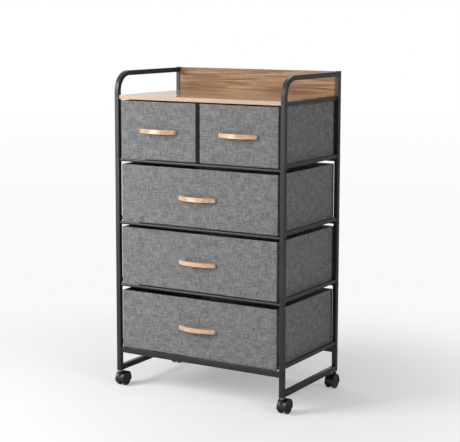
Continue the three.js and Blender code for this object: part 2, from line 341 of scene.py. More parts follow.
@dataclass(frozen=True)
class ZincPlate:
    """Bright zinc on turned steel, with fine rings of the lathe."""

    name: str = "bright_zinc_plate"
    dark: Colour = (0.42, 0.43, 0.45)
    light: Colour = (0.66, 0.66, 0.67)
    roughness: Span = (0.24, 0.42)

    def build(self) -> Material:
        """Lay out the material.

        Returns:
            The material.
        """
        sheet = NodeSheet(self.name)
        cloud = sheet.noise(sheet.place(), scale=220.0, detail=3.0)
        rings = sheet.noise(sheet.place((0.2, 0.2, 1.0)), scale=2500.0, detail=1.0)
        sheet.surface(
            Base_Color=sheet.ramp(cloud, [(0.3, self.dark), (0.7, self.light)]),
            Roughness=sheet.scaled(rings, self.roughness),
            Normal=sheet.bump(rings, depth=0.04 * MILLI, strength=0.4),
            Metallic=1.0,
        )
        return sheet.owner


@dataclass(frozen=True)
class OakBoard:
    """Satin oak-grained board: long grain along X, dark growth bands and fine open pores."""

    name: str = "satin_oak_board"
    pale: Colour = (0.78, 0.49, 0.265)
    middle: Colour = (0.49, 0.27, 0.128)
    dark: Colour = (0.22, 0.098, 0.037)
    streak: Colour = (0.58, 0.50, 0.44)
    pore: Colour = (0.55, 0.45, 0.38)
    roughness: Span = (0.24, 0.12)
    gloss: float = 0.65

    def build(self) -> Material:
        """Lay out the material.

        Returns:
            The material.
        """
        sheet = NodeSheet(self.name)
        bands = sheet.noise(sheet.place((1.6, 28.0, 28.0)), scale=2.6, detail=6.0, roughness=0.70,
                            distortion=0.8)
        fibres = sheet.noise(sheet.place((3.0, 170.0, 170.0)), scale=2.4, detail=3.0, roughness=0.6)
        pores = sheet.noise(sheet.place((14.0, 900.0, 900.0)), scale=1.6, detail=1.0)
        body = sheet.ramp(bands, [(0.40, self.dark), (0.50, self.middle), (0.61, self.pale)])
        streaks = sheet.ramp(fibres, [(0.32, self.streak), (0.60, WHITE)])
        specks = sheet.ramp(pores, [(0.30, self.pore), (0.42, WHITE)])
        grained = sheet.mix(0.75, body, streaks, "MULTIPLY")
        sheet.surface(
            Base_Color=sheet.mix(0.5, grained, specks, "MULTIPLY"),
            Roughness=sheet.scaled(fibres, self.roughness, (0.3, 0.7)),
            Normal=sheet.bump(sheet.combined(fibres, pores), depth=0.1 * MILLI, strength=0.3),
            Specular_IOR_Level=self.gloss,
        )
        return sheet.owner


@dataclass(frozen=True)
class EdgeBand:
    """The pale strip that covers a cut edge of the board, with faint long grain."""

    name: str = "pale_edge_band"
    pale: Colour = (0.76, 0.545, 0.395)
    warm: Colour = (0.62, 0.42, 0.28)
    roughness: Span = (0.50, 0.40)

    def build(self) -> Material:
        """Lay out the material.

        Returns:
            The material.
        """
        sheet = NodeSheet(self.name)
        grain = sheet.noise(sheet.place((2.0, 260.0, 260.0)), scale=2.6, detail=3.0, roughness=0.6)
        sheet.surface(
            Base_Color=sheet.ramp(grain, [(0.32, self.warm), (0.62, self.pale)]),
            Roughness=sheet.scaled(grain, self.roughness),
            Normal=sheet.bump(grain, depth=0.06 * MILLI, strength=0.3),
            Specular_IOR_Level=0.4,
        )
        return sheet.owner


@dataclass(frozen=True)
class BeechBar:
    """Clear lacquer on beech, with a warm heart and short dark flecks along X."""

    name: str = "lacquered_beech"
    pale: Colour = (0.88, 0.585, 0.355)
    warm: Colour = (0.66, 0.335, 0.145)
    fleck: Colour = (0.66, 0.54, 0.44)
    roughness: Span = (0.44, 0.32)

    def build(self) -> Material:
        """Lay out the material.

        Returns:
            The material.
        """
        sheet = NodeSheet(self.name)
        grain = sheet.noise(sheet.place((1.4, 110.0, 110.0)), scale=2.0, detail=2.0, roughness=0.5)
        spots = sheet.noise(sheet.place((90.0, 900.0, 900.0)), scale=1.5, detail=0.0)
        body = sheet.ramp(grain, [(0.34, self.warm), (0.60, self.pale)])
        flecks = sheet.ramp(spots, [(0.26, self.fleck), (0.36, WHITE)])
        sheet.surface(
            Base_Color=sheet.mix(0.35, body, flecks, "MULTIPLY"),
            Roughness=sheet.scaled(grain, self.roughness),
            Normal=sheet.bump(grain, depth=0.1 * MILLI, strength=0.25),
            Specular_IOR_Level=0.6,
            Coat_Weight=1.0,
            Coat_IOR=1.8,
            Coat_Roughness=0.22,
        )
        return sheet.owner


@dataclass(frozen=True)
class HeatherCloth:
    """Grey cloth of mixed dark and light fibres in a close plain weave.

    The pattern follows the cloth map that lay_cloth writes, in metres.
    """

    name: str = "grey_heather_cloth"
    dark: Colour = (0.148, 0.150, 0.155)
    middle: Colour = (0.229, 0.232, 0.238)
    light: Colour = (0.347, 0.351, 0.359)
    speck: Colour = (0.52, 0.52, 0.51)
    roughness: Span = (0.97, 0.86)
    yarns: float = 1250.0

    def build(self) -> Material:
        """Lay out the material.

        Returns:
            The material.
        """
        sheet = NodeSheet(self.name)
        tone = self.tone(sheet)
        body = sheet.ramp(tone, [(0.10, self.dark), (0.50, self.middle), (0.90, self.light)])
        spots = sheet.noise(sheet.place((1.0, 1.7, 1.0), Reading.CLOTH), scale=330.0, detail=1.0)
        share = sheet.scaled(spots, (0.0, 0.55), (0.66, 0.76))
        weave = sheet.bump(self.weave(sheet), depth=0.16 * MILLI, strength=0.6)
        sheet.surface(
            Base_Color=sheet.mix(share, body, self.speck),
            Roughness=sheet.scaled(tone, self.roughness),
            Normal=sheet.bump(tone, depth=0.3 * MILLI, strength=0.4, under=weave),
            Specular_IOR_Level=0.15,
            Sheen_Weight=0.08,
            Sheen_Roughness=0.5,
        )
        return sheet.owner

    def tone(self, sheet: NodeSheet) -> Socket:
        """The mottled grey of the mixed fibres, with short slubs along the weft and the warp.

        Args:
            sheet: The nodes of the material.

        Returns:
            The socket with the grey value.
        """
        def threads(across: float, along: float, detail: float, roughness: float) -> Socket:
            """Fibres whose waves in a metre are given across and along the cloth."""
            place = sheet.place((across, along, 1.0), Reading.CLOTH)
            return sheet.noise(place, scale=1.0, detail=detail, roughness=roughness)

        place = sheet.place((0.7, 1.0, 1.0), Reading.CLOTH)
        cloud = sheet.noise(place, scale=48.0, detail=3.0, roughness=0.75)
        weft = threads(34.0, 330.0, detail=1.5, roughness=0.7)
        warp = threads(330.0, 38.0, detail=1.5, roughness=0.7)
        fibres = threads(170.0, 520.0, detail=2.0, roughness=0.5)
        slubs = sheet.combined(sheet.scaled(cloud, (0.175, 0.825)), weft)
        mixed = sheet.combined(slubs, sheet.combined(warp, fibres))
        return sheet.scaled(mixed, (0.0, 1.0), (1.64, 2.36))

    def weave(self, sheet: NodeSheet) -> Socket:
        """The over and under of the plain weave.

        Args:
            sheet: The nodes of the material.

        Returns:
            The socket with the grey value.
        """
        waves = []
        for bands in ("X", "Y"):
            inputs = {"Vector": sheet.place(EVEN, Reading.CLOTH), "Distortion": 0.8,
                      "Scale": self.yarns * math.tau / WAVE_TURNS}
            wave = sheet.add("ShaderNodeTexWave", inputs, wave_type="BANDS", bands_direction=bands)
            waves.append(wave.outputs["Fac"])
        return sheet.combined(*waves, "MULTIPLY")


@dataclass(frozen=True)
class GreyBoard:
    """Stiff grey board covered in thin felt, for the loose floors of the bins."""

    name: str = "felted_grey_board"
    dark: Colour = (0.085, 0.085, 0.088)
    light: Colour = (0.170, 0.170, 0.175)
    roughness: Span = (0.95, 0.80)

    def build(self) -> Material:
        """Lay out the material.

        Returns:
            The material.
        """
        sheet = NodeSheet(self.name)
        fibres = sheet.noise(sheet.place(), scale=700.0, detail=3.0, roughness=0.7)
        sheet.surface(
            Base_Color=sheet.ramp(fibres, [(0.3, self.dark), (0.7, self.light)]),
            Roughness=sheet.scaled(fibres, self.roughness),
            Normal=sheet.bump(fibres, depth=0.3 * MILLI, strength=0.4),
            Specular_IOR_Level=0.2,
        )
        return sheet.owner


class Finishes:
    """Every finish of the dresser, made once."""

    def __init__(self) -> None:
        """Build all the materials."""
        self.steel = PowderCoat().build()
        # A darker, duller copy of the powder coat for the drawer divider: painted shade, as the
        # recessed divider sits in shade.
        self.shaded_dull_steel = PowderCoat(
            "shaded_dull_powder_coat", dark=(0.003, 0.003, 0.003), light=(0.006, 0.006, 0.006),
            roughness=(0.56, 0.66), gloss=0.15,
        ).build()
        self.plastic = MouldedNylon().build()
        self.zinc = ZincPlate().build()
        self.oak = OakBoard().build()
        # A darker, less glossy copy of the oak for the upright back board: painted shade on its
        # upright face.
        self.shaded_upright_oak = OakBoard(
            "shaded_upright_oak_board", pale=(0.62, 0.405, 0.235), middle=(0.43, 0.255, 0.132),
            dark=(0.285, 0.145, 0.068), roughness=(0.46, 0.34), gloss=0.30,
        ).build()
        self.band = EdgeBand().build()
        self.beech = BeechBar().build()
        self.cloth = HeatherCloth().build()
        self.board = GreyBoard().build()

    def of_slot(self, slot: str) -> Material:
        """The material for one of the record's material slots.

        Args:
            slot: The slot's name.

        Returns:
            The material.
        """
        return {
            "black_steel": self.steel,
            "black_plastic": self.plastic,
            "bright_steel": self.zinc,
            "oak": self.oak,
            "pale_wood": self.beech,
            "grey_fabric": self.cloth,
            "grey_board": self.board,
        }[slot]


def dress(piece: Piece, material: Material) -> None:
    """Give a piece one material all over.

    Args:
        piece: The mesh object.
        material: Its finish.
    """
    piece.data.materials.clear()
    piece.data.materials.append(material)
    for polygon in piece.data.polygons:
        polygon.material_index = 0


def lay_cloth(piece: Piece) -> None:
    """Write the cloth map: each face is unrolled along its own plane, in metres.

    Args:
        piece: The mesh object, with the map that its first cuboid brought.
    """
    mesh = piece.data
    layer = mesh.uv_layers[0]
    for polygon in mesh.polygons:
        steep = max(range(3), key=lambda number: abs(polygon.normal[number]))
        across, up = (number for number in range(3) if number != steep)
        for loop in polygon.loop_indices:
            place = mesh.vertices[mesh.loops[loop].vertex_index].co
            layer.data[loop].uv = (place[across] + CLOTH_SHIFT * steep, place[up])


class Bench:
    """The modelling steps that every piece shares."""

    @staticmethod
    def hold(piece: Piece) -> None:
        """Leave only this piece selected, and make it the active one.

        Args:
            piece: The mesh object.
        """
        bpy.ops.object.select_all(action="DESELECT")
        piece.select_set(True)
        bpy.context.view_layer.objects.active = piece

    @staticmethod
    def named(name: str) -> Piece:
        """Name the primitive that was just added, and put its place in its mesh.

        Args:
            name: The piece's name.

        Returns:
            The piece.
        """
        piece = bpy.context.active_object
        piece.name = piece.data.name = name
        bpy.ops.object.transform_apply(location=True, rotation=True, scale=True)
        return piece

    @classmethod
    def block(cls, name: str, low: Vector, high: Vector) -> Piece:
        """A cuboid between two corners.

        Args:
            name: The piece's name.
            low: Its lowest corner.
            high: Its highest corner.

        Returns:
            The piece.
        """
        bpy.ops.object.select_all(action="DESELECT")
        bpy.ops.mesh.primitive_cube_add(size=1.0, location=(low + high) / 2, scale=high - low)
        return cls.named(name)

    @classmethod
    def ring(cls, name: str, points: Sequence[Point]) -> Piece:
        """A closed line of edges, which starts as a circle whose points are then placed.

        Args:
            name: The piece's name.
            points: Where each point of the line goes.

        Returns:
            The piece, which has no faces yet.
        """
        bpy.ops.object.select_all(action="DESELECT")
        bpy.ops.mesh.primitive_circle_add(vertices=len(points), radius=1.0, fill_type="NOTHING")
        piece = cls.named(name)
        for vertex, point in zip(piece.data.vertices, points):
            vertex.co = point
        return piece

    @classmethod
    def start(cls, piece: Piece, elements: Elements) -> None:
        """Open a piece in edit mode with nothing selected.

        Args:
            piece: The mesh object.
            elements: What is selected from here on.
        """
        cls.hold(piece)
        bpy.ops.object.mode_set(mode="EDIT")
        bpy.ops.mesh.select_mode(type=elements.value)
        bpy.ops.mesh.select_all(action="DESELECT")

    @staticmethod
    def stop() -> None:
        """Close edit mode."""
        bpy.ops.object.mode_set(mode="OBJECT")

    @staticmethod
    def pick(piece: Piece, elements: Elements, wanted: FaceTest | EdgeTest) -> None:
        """Select the faces or edges that pass a test, in edit mode.

        Args:
            piece: The mesh object.
            elements: FACES or EDGES.
            wanted: The test.
        """
        bpy.ops.mesh.select_all(action="DESELECT")
        mesh = bmesh.from_edit_mesh(piece.data)
        sought = mesh.faces if elements is Elements.FACES else mesh.edges
        for element in [element for element in sought if wanted(element)]:
            element.select_set(True)
        bmesh.update_edit_mesh(piece.data)

    @classmethod
    def round_edges(cls, piece: Piece, wanted: EdgeTest, width: float, steps: int) -> None:
        """Round the edges of a piece that pass a test.

        Args:
            piece: The mesh object.
            wanted: The test.
            width: The width of the rounding.
            steps: The number of faces across it.
        """
        cls.start(piece, Elements.EDGES)
        cls.pick(piece, Elements.EDGES, wanted)
        bpy.ops.mesh.bevel(offset=width, segments=steps, affect="EDGES")
        cls.stop()

    @staticmethod
    def runs_along(axis: Axis, length: float) -> EdgeTest:
        """A test for the edges that reach further than a length along an axis."""
        return lambda edge: abs((edge.verts[0].co - edge.verts[1].co)[axis.value]) > length

    @staticmethod
    def cut(axis: Axis, places: Iterable[float]) -> None:
        """Score the open piece all through by flat cuts across an axis, in edit mode.

        Args:
            axis: The axis that the cuts stand across.
            places: Where each cut is.
        """
        for place in places:
            bpy.ops.mesh.select_all(action="SELECT")
            bpy.ops.mesh.bisect(plane_co=axis.direction * place, plane_no=axis.direction)

    @staticmethod
    def merge() -> None:
        """Make one of all points of the open piece that lie together, in edit mode."""
        bpy.ops.mesh.select_all(action="SELECT")
        bpy.ops.mesh.remove_doubles(threshold=MERGE)

    @staticmethod
    def face_outwards() -> None:
        """Turn all faces of the open piece outwards, in edit mode."""
        bpy.ops.mesh.select_all(action="SELECT")
        bpy.ops.mesh.normals_make_consistent(inside=False)

    @classmethod
    def spun(cls, name: str, points: Sequence[Point], centre: Vector, axis: Axis,
             steps: int) -> Piece:
        """A closed outline turned all the way round an axis.

        Args:
            name: The piece's name.
            points: The outline, in a plane through the axis.
            centre: A point on the axis.
            axis: The axis.
            steps: The number of steps round.

        Returns:
            The piece, closed, with its faces outwards.
        """
        piece = cls.ring(name, points)
        cls.start(piece, Elements.POINTS)
        bpy.ops.mesh.select_all(action="SELECT")
        bpy.ops.mesh.spin(steps=steps, angle=math.tau, center=centre, axis=axis.direction)
        cls.merge()
        bpy.ops.mesh.select_all(action="SELECT")
        bpy.ops.mesh.delete_loose()
        cls.face_outwards()
        cls.stop()
        return piece

    @classmethod
    def soften(cls, piece: Piece, width: float, segments: int, angle: float) -> None:
        """Round the sharp edges of a piece with a bevel that is applied.

        Args:
            piece: The mesh object.
            width: The width of the rounding.
            segments: The number of faces across it.
            angle: Edges sharper than this, in degrees, are rounded.
        """
        cls.hold(piece)
        bevel = piece.modifiers.new("Bevel", "BEVEL")
        bevel.width = width
        bevel.segments = segments
        bevel.limit_method = "ANGLE"
        bevel.angle_limit = math.radians(angle)
        bpy.ops.object.modifier_apply(modifier=bevel.name)

    @classmethod
    def smooth(cls, piece: Piece, angle: float) -> None:
        """Shade a piece smooth except across sharp edges, and keep its flats flat.

        Args:
            piece: The mesh object.
            angle: Edges sharper than this, in degrees, stay sharp.
        """
        cls.hold(piece)
        bpy.ops.object.shade_smooth_by_angle(angle=math.radians(angle))
        weights = piece.modifiers.new("flats", "WEIGHTED_NORMAL")
        weights.keep_sharp = True
        bpy.ops.object.modifier_apply(modifier=weights.name)

    @staticmethod
    def copied(piece: Piece, name: str, move: Matrix) -> Piece:
        """A copy of a piece with its own mesh, moved in its mesh.

        Args:
            piece: The piece that is copied.
            name: The copy's name.
            move: Where the copy goes from there.

        Returns:
            The copy.
        """
        copy = bpy.data.objects.new(name, piece.data.copy())
        copy.data.name = name
        bpy.context.scene.collection.objects.link(copy)
        copy.data.transform(move)
        return copy


@dataclass(frozen=True)
class Softbox:
    """A soft rectangular lamp that faces a point."""

    name: str
    place: Point
    target: Point
    power: float
    width: float
    height: float

    def build(self) -> None:
        """Hang the lamp in the scene."""
        lamp = bpy.data.lights.new(self.name, "AREA")
        lamp.shape = "RECTANGLE"
        lamp.energy = self.power
        lamp.size = self.width
        lamp.size_y = self.height
        holder = bpy.data.objects.new(self.name, lamp)
        holder.location = self.place
        aim = Vector(self.target) - Vector(self.place)
        holder.rotation_euler = aim.to_track_quat("-Z", "Y").to_euler()
        bpy.context.scene.collection.objects.link(holder)


@dataclass
class Studio:
    """A pale floor that fades into a white room, and soft lamps.

    Each reach is a distance from the middle of the floor, or two of them. The mirror shares say
    how much of the white a reflection sees on the left and on the right.
    """

    floor_size: float = 200.0
    floor_colour: Colour = (0.90, 0.90, 0.90)
    veil: float = 0.33
    fade_reach: Span = (0.15, 1.35)
    glow: Span = (0.94, 1.0)
    glow_reach: Span = (2.0, 12.0)
    room_light: float = 0.04
    mirror_shares: Span = (1.0, 0.42)
    mirror_reach: float = 1.2
    mirror_slant: float = 0.4
    lamps: tuple[Softbox, ...] = (
        Softbox("key", (-1.75, -2.1, 1.9), (0.0, -0.1, 0.45), power=60.0, width=1.5, height=1.5),
        Softbox("side", (2.9, -1.3, 1.5), (0.0, 0.0, 0.45), power=28.0, width=1.2, height=1.6),
        Softbox("strip", (-0.92, -1.3, 0.75), (0.0, -0.17, 0.75), power=4.8, width=0.6,
                height=0.75),
        Softbox("top", (0.05, 0.36, 1.75), (0.0, 0.1, 0.9), power=4.0, width=0.7, height=0.3),
    )

    def build(self) -> None:
        """Make the floor, the room and the lamps."""
        self.make_floor()
        self.make_room()
        for lamp in self.lamps:
            lamp.build()

    def make_floor(self) -> None:
        """A large plane, lit near the dresser and plain white far from it."""
        bpy.ops.object.select_all(action="DESELECT")
        bpy.ops.mesh.primitive_plane_add(size=self.floor_size)
        floor = Bench.named("studio_floor")
        sheet = NodeSheet("studio_floor_paint")
        rays = sheet.add("ShaderNodeLightPath").outputs
        paint = sheet.surface(Base_Color=self.floor_colour, Roughness=0.9, Specular_IOR_Level=0.1)
        haze = sheet.scaled(rays["Is Camera Ray"], (0.0, self.veil))
        veil = sheet.add("ShaderNodeEmission", {"Strength": haze})
        both = {0: paint.outputs["BSDF"], 1: veil.outputs["Emission"]}
        lit = sheet.add("ShaderNodeAddShader", both)
        flat_place = {0: sheet.place((1.0, 1.0, 0.0))}
        reach = sheet.add("ShaderNodeVectorMath", flat_place, operation="LENGTH").outputs["Value"]
        strength = sheet.scaled(reach, self.glow, self.glow_reach)
        glow = sheet.add("ShaderNodeEmission", {"Strength": strength})
        far = sheet.scaled(reach, (0.0, 1.0), self.fade_reach, soft=True)
        seen = self.seen_share(sheet, rays, Reading.PLACE, self.mirror_reach)
        share = sheet.combined(far, seen, "MULTIPLY")
        self.mix_into(sheet, share, lit.outputs["Shader"], glow.outputs["Emission"])
        dress(floor, sheet.owner)

    def make_room(self) -> None:
        """A room that lights the dresser softly, and that looks white, also in reflections."""
        sheet = NodeSheet("studio_room", room=True)
        rays = sheet.add("ShaderNodeLightPath").outputs
        soft = sheet.add("ShaderNodeBackground", {"Color": WHITE, "Strength": self.room_light})
        white = sheet.add("ShaderNodeBackground", {"Color": WHITE, "Strength": 1.0})
        share = self.seen_share(sheet, rays, Reading.DIRECTION, self.mirror_slant)
        self.mix_into(sheet, share, soft.outputs["Background"], white.outputs["Background"])
        bpy.context.scene.world = sheet.owner

    def seen_share(self, sheet: NodeSheet, rays: bpy.types.NodeOutputs, reading: Reading,
                   reach: float) -> Socket:
        """How much of the white is seen: all by the camera, and less in reflections on the right.

        Args:
            sheet: The nodes of the floor or the room.
            rays: The outputs that tell the kinds of ray apart.
            reading: What gives the place on the floor, or the direction in the room.
            reach: How far along X from the middle the change ends.

        Returns:
            The socket with the share.
        """
        split = sheet.add("ShaderNodeSeparateXYZ", {"Vector": sheet.place(EVEN, reading)})
        bright = sheet.scaled(split.outputs["X"], self.mirror_shares, (-reach, reach), soft=True)
        mirrored = sheet.combined(rays["Is Glossy Ray"], bright, "MULTIPLY")
        return sheet.combined(rays["Is Camera Ray"], mirrored)

    @staticmethod
    def mix_into(sheet: NodeSheet, share: Socket, first: Socket, second: Socket) -> None:
        """Mix two shaders into the sheet's output.

        Args:
            sheet: The nodes of the floor or the room.
            share: The share of the second.
            first: The shader at 0.
            second: The shader at 1.
        """
        mix = sheet.add("ShaderNodeMixShader", {"Fac": share, 1: first, 2: second})
        sheet.join(mix.outputs["Shader"], sheet.output.inputs["Surface"])


@dataclass
class PhotoCamera:
    """The camera at the photograph's place.

    It looks at the target, which stands a little over the picture's middle. Angles are degrees.
    """

    azimuth: float = 30.92
    pitch: float = 7.452
    roll: float = 0.116
    distance: float = 4.05966
    target: Point = (0.00618, 0.01295, 0.64797)
    focal_pixels: float = 1302.67
    drop_pixels: float = 37.0
    picture_width: float = 460.0
    sensor: float = 36.0
    clip: Span = (0.1, 200.0)

    def build(self) -> None:
        """Make the camera and give it to the scene."""
        data = bpy.data.cameras.new("camera")
        data.sensor_width = self.sensor
        data.lens = self.focal_pixels * self.sensor / self.picture_width
        data.shift_y = -self.drop_pixels / self.picture_width
        data.clip_start, data.clip_end = self.clip
        camera = bpy.data.objects.new("camera", data)
        around, up = math.radians(self.azimuth), math.radians(self.pitch)
        level = math.cos(up)
        back = Vector((math.sin(around) * level, -math.cos(around) * level, math.sin(up)))
        turn = (-back).to_track_quat("-Z", "Y").to_matrix().to_4x4()
        spin = Matrix.Rotation(math.radians(self.roll), 4, "Z")
        place = Matrix.Translation(Vector(self.target) + back * self.distance)
        camera.matrix_world = place @ turn @ spin
        bpy.context.scene.collection.objects.link(camera)
        bpy.context.scene.camera = camera


@dataclass
class ClothBin:
    """One fabric bin: a sewn box with a stiff front, rounded seams and slightly slack walls.

    An ease moves a wall from its place in the CAD, and a flare spreads a side wall towards the
    rear. The rim and the floor hold the slack walls to the share that held gives.
    """

    drawer: str
    wall: float = 2.5 * MILLI
    front_wall: float = 5.0 * MILLI
    floor: float = 2.5 * MILLI
    corner: float = 2.2 * MILLI
    bottom_round: float = 5.2 * MILLI
    seam_steps: int = 4
    fold: float = 0.875 * MILLI
    fold_steps: int = 2
    rim_reach: float = 3.0 * MILLI
    rim_dip: float = 1.2 * MILLI
    grid: float = 22.0 * MILLI
    grid_inset: float = 5.5 * MILLI
    slack: float = 1.6 * MILLI
    held: float = 0.35
    ripples: float = 9.0
    left_ease: float = 3.0 * MILLI
    right_ease: float = -1.0 * MILLI
    rear_ease: float = 5.0 * MILLI
    left_flare: float = 2.5 * MILLI
    right_flare: float = 2.5 * MILLI

    def build(self, finishes: Finishes) -> Piece:
        """Model the bin over its CAD box.

        Args:
            finishes: The dresser's finishes.

        Returns:
            The bin.
        """
        node = f"{self.drawer}_bin"
        low, high = (Vector(corner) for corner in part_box(node))
        low.x -= self.left_ease
        high += Vector((self.right_ease, self.rear_ease, 0.0))
        piece = Bench.block(f"{self.drawer}_cloth_bin", low, high)
        self.round_seams(piece, low)
        self.hollow(piece, low, high)
        self.score(piece, low, high)
        self.sag(piece, low, high)
        self.ease_rim(piece, high)
        Bench.smooth(piece, angle=50.0)
        lay_cloth(piece)
        dress(piece, finishes.cloth)
        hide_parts(node)
        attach(piece, f"{self.drawer}_drawer")
        return piece

    def round_seams(self, piece: Piece, low: Vector) -> None:
        """Round the four upright seams and the seam round the bottom.

        Args:
            piece: The bin.
            low: Its lowest corner.
        """
        def is_bottom(edge: bmesh.types.BMEdge) -> bool:
            """True for an edge of the underside."""
            return all(point.co.z < low.z + SAME for point in edge.verts)

        upright = Bench.runs_along(Axis.Z, self.corner)
        Bench.round_edges(piece, upright, self.corner, self.seam_steps)
        Bench.round_edges(piece, is_bottom, self.bottom_round, self.seam_steps)

    def hollow(self, piece: Piece, low: Vector, high: Vector) -> None:
        """Sink the inside from the open top, and leave the front wall thicker.

        Args:
            piece: The bin.
            low: Its lowest corner.
            high: Its highest corner.
        """
        def is_top(face: bmesh.types.BMFace) -> bool:
            """True for the face on top."""
            return face.normal.z > LEVEL and face.calc_center_median().z > high.z - SAME

        Bench.start(piece, Elements.FACES)
        Bench.pick(piece, Elements.FACES, is_top)
        bpy.ops.mesh.inset(thickness=self.wall, depth=0.0)
        mesh = bmesh.from_edit_mesh(piece.data)
        middle = low.y + (high.y - low.y) / 2
        for vertex in mesh.verts:
            if vertex.select and vertex.co.y < middle:
                share = min(1.0, (middle - vertex.co.y) / (middle - low.y - self.corner))
                vertex.co.y += (self.front_wall - self.wall) * share
        bmesh.update_edit_mesh(piece.data)
        depth = high.z - low.z - self.floor
        bpy.ops.mesh.extrude_region_move(TRANSFORM_OT_translate={"value": (0.0, 0.0, -depth)})
        Bench.stop()

    def score(self, piece: Piece, low: Vector, high: Vector) -> None:
        """Cut the walls into a grid, so that the cloth can give a little.

        Args:
            piece: The bin.
            low: Its lowest corner.
            high: Its highest corner.
        """
        Bench.start(piece, Elements.FACES)
        for axis in Axis:
            first, last = low[axis.value] + self.grid_inset, high[axis.value] - self.grid_inset
            count = max(2, round((last - first) / self.grid))
            Bench.cut(axis, [first + (last - first) * step / count for step in range(count + 1)])
        Bench.stop()

    def sag(self, piece: Piece, low: Vector, high: Vector) -> None:
        """Let the side and rear walls bow out unevenly and spread towards the rear.

        Args:
            piece: The bin.
            low: Its lowest corner.
            high: Its highest corner.
        """
        size = high - low
        shell = self.front_wall + self.wall
        own_ripples = Vector((3.1 * low.x, 7.0 * low.z, 0.0))  # no two bins ripple alike
        for vertex in piece.data.vertices:
            place = vertex.co.copy()
            share = [(place[number] - low[number]) / size[number] for number in range(3)]
            belly = [math.sin(math.pi * min(1.0, max(0.0, value))) for value in share]
            ripple = noise.noise(place * self.ripples + own_ripples)
            give = self.slack * (0.75 + 0.5 * ripple) * (self.held + (1.0 - self.held) * belly[2])
            if place.x > high.x - shell:
                vertex.co.x += self.right_flare * share[1] + give * belly[1]
            if place.x < low.x + shell:
                vertex.co.x -= self.left_flare * share[1] + give * belly[1]
            if place.y > high.y - shell:
                vertex.co.y += give * belly[0]
            if place.z > high.z - SAME:
                vertex.co.z -= abs(ripple) * self.rim_dip * belly[0]

    def ease_rim(self, piece: Piece, high: Vector) -> None:
        """Round the folded edge of the cloth round the open top.

        Args:
            piece: The bin.
            high: Its highest corner.
        """
        def is_rim(edge: bmesh.types.BMEdge) -> bool:
            """True for a sharp edge at the top."""
            near_top = all(point.co.z > high.z - self.rim_reach for point in edge.verts)
            return near_top and len(edge.link_faces) == 2 and edge.calc_face_angle() > FOLD_ANGLE

        Bench.round_edges(piece, is_rim, self.fold, self.fold_steps)


@dataclass
class BowHandle:
    """A bow handle of beech, with round ends and eased edges.

    Its front stands out from the bin by end at both ends and by crown in the middle. Its back
    lies on the bin along each foot, and stands off by rise in the middle.
    """

    drawer: str
    trim: float = 2.5 * MILLI
    end: float = 7.0 * MILLI
    crown: float = 25.0 * MILLI
    rise: float = 16.0 * MILLI
    foot: float = 12.5 * MILLI
    end_round: float = 5.46 * MILLI
    end_steps: int = 5
    ease: float = 2.2 * MILLI
    sections: int = 36

    def build(self, finishes: Finishes) -> Piece:
        """Model the handle over its CAD solid.

        Args:
            finishes: The dresser's finishes.

        Returns:
            The handle.
        """
        node = f"{self.drawer}_handle"
        low, high = (Vector(corner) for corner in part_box(node))
        low.x += self.trim
        high.x -= self.trim
        piece = Bench.block(f"{self.drawer}_bow_handle", low, high)
        step = (high.x - low.x) / self.sections
        Bench.start(piece, Elements.FACES)
        Bench.cut(Axis.X, [low.x + step * number for number in range(1, self.sections)])
        Bench.stop()
        self.bow(piece, low, high)
        self.round_ends(piece, low, high)
        Bench.soften(piece, self.ease, segments=3, angle=50.0)
        Bench.smooth(piece, angle=60.0)
        dress(piece, finishes.beech)
        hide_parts(node)
        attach(piece, f"{self.drawer}_drawer")
        return piece

    def bow(self, piece: Piece, low: Vector, high: Vector) -> None:
        """Move each section out from the front of the bin to the curve of the bow.

        Args:
            piece: The straight bar.
            low: Its lowest corner.
            high: Its highest corner.
        """
        middle = (low + high) / 2
        half = (high.x - low.x) / 2
        for vertex in piece.data.vertices:
            out = vertex.co.x - middle.x
            along, inside = out / half, out / (half - self.foot)
            outer = self.end + (self.crown - self.end) * (1 - along * along)
            inner = max(0.0, self.rise * (1 - inside * inside))
            vertex.co.y = high.y - (outer if vertex.co.y < middle.y else inner)

    def round_ends(self, piece: Piece, low: Vector, high: Vector) -> None:
        """Round both ends, seen from the front.

        Args:
            piece: The bowed bar.
            low: Its lowest corner before it was bowed.
            high: Its highest corner before it was bowed.
        """
        deep = Bench.runs_along(Axis.Y, SAME)

        def at_end(edge: bmesh.types.BMEdge) -> bool:
            """True for an edge that runs from front to rear at an end."""
            gaps = [min(abs(point.co.x - low.x), abs(point.co.x - high.x)) for point in edge.verts]
            return max(gaps) < SAME and deep(edge)

        Bench.round_edges(piece, at_end, self.end_round, self.end_steps)


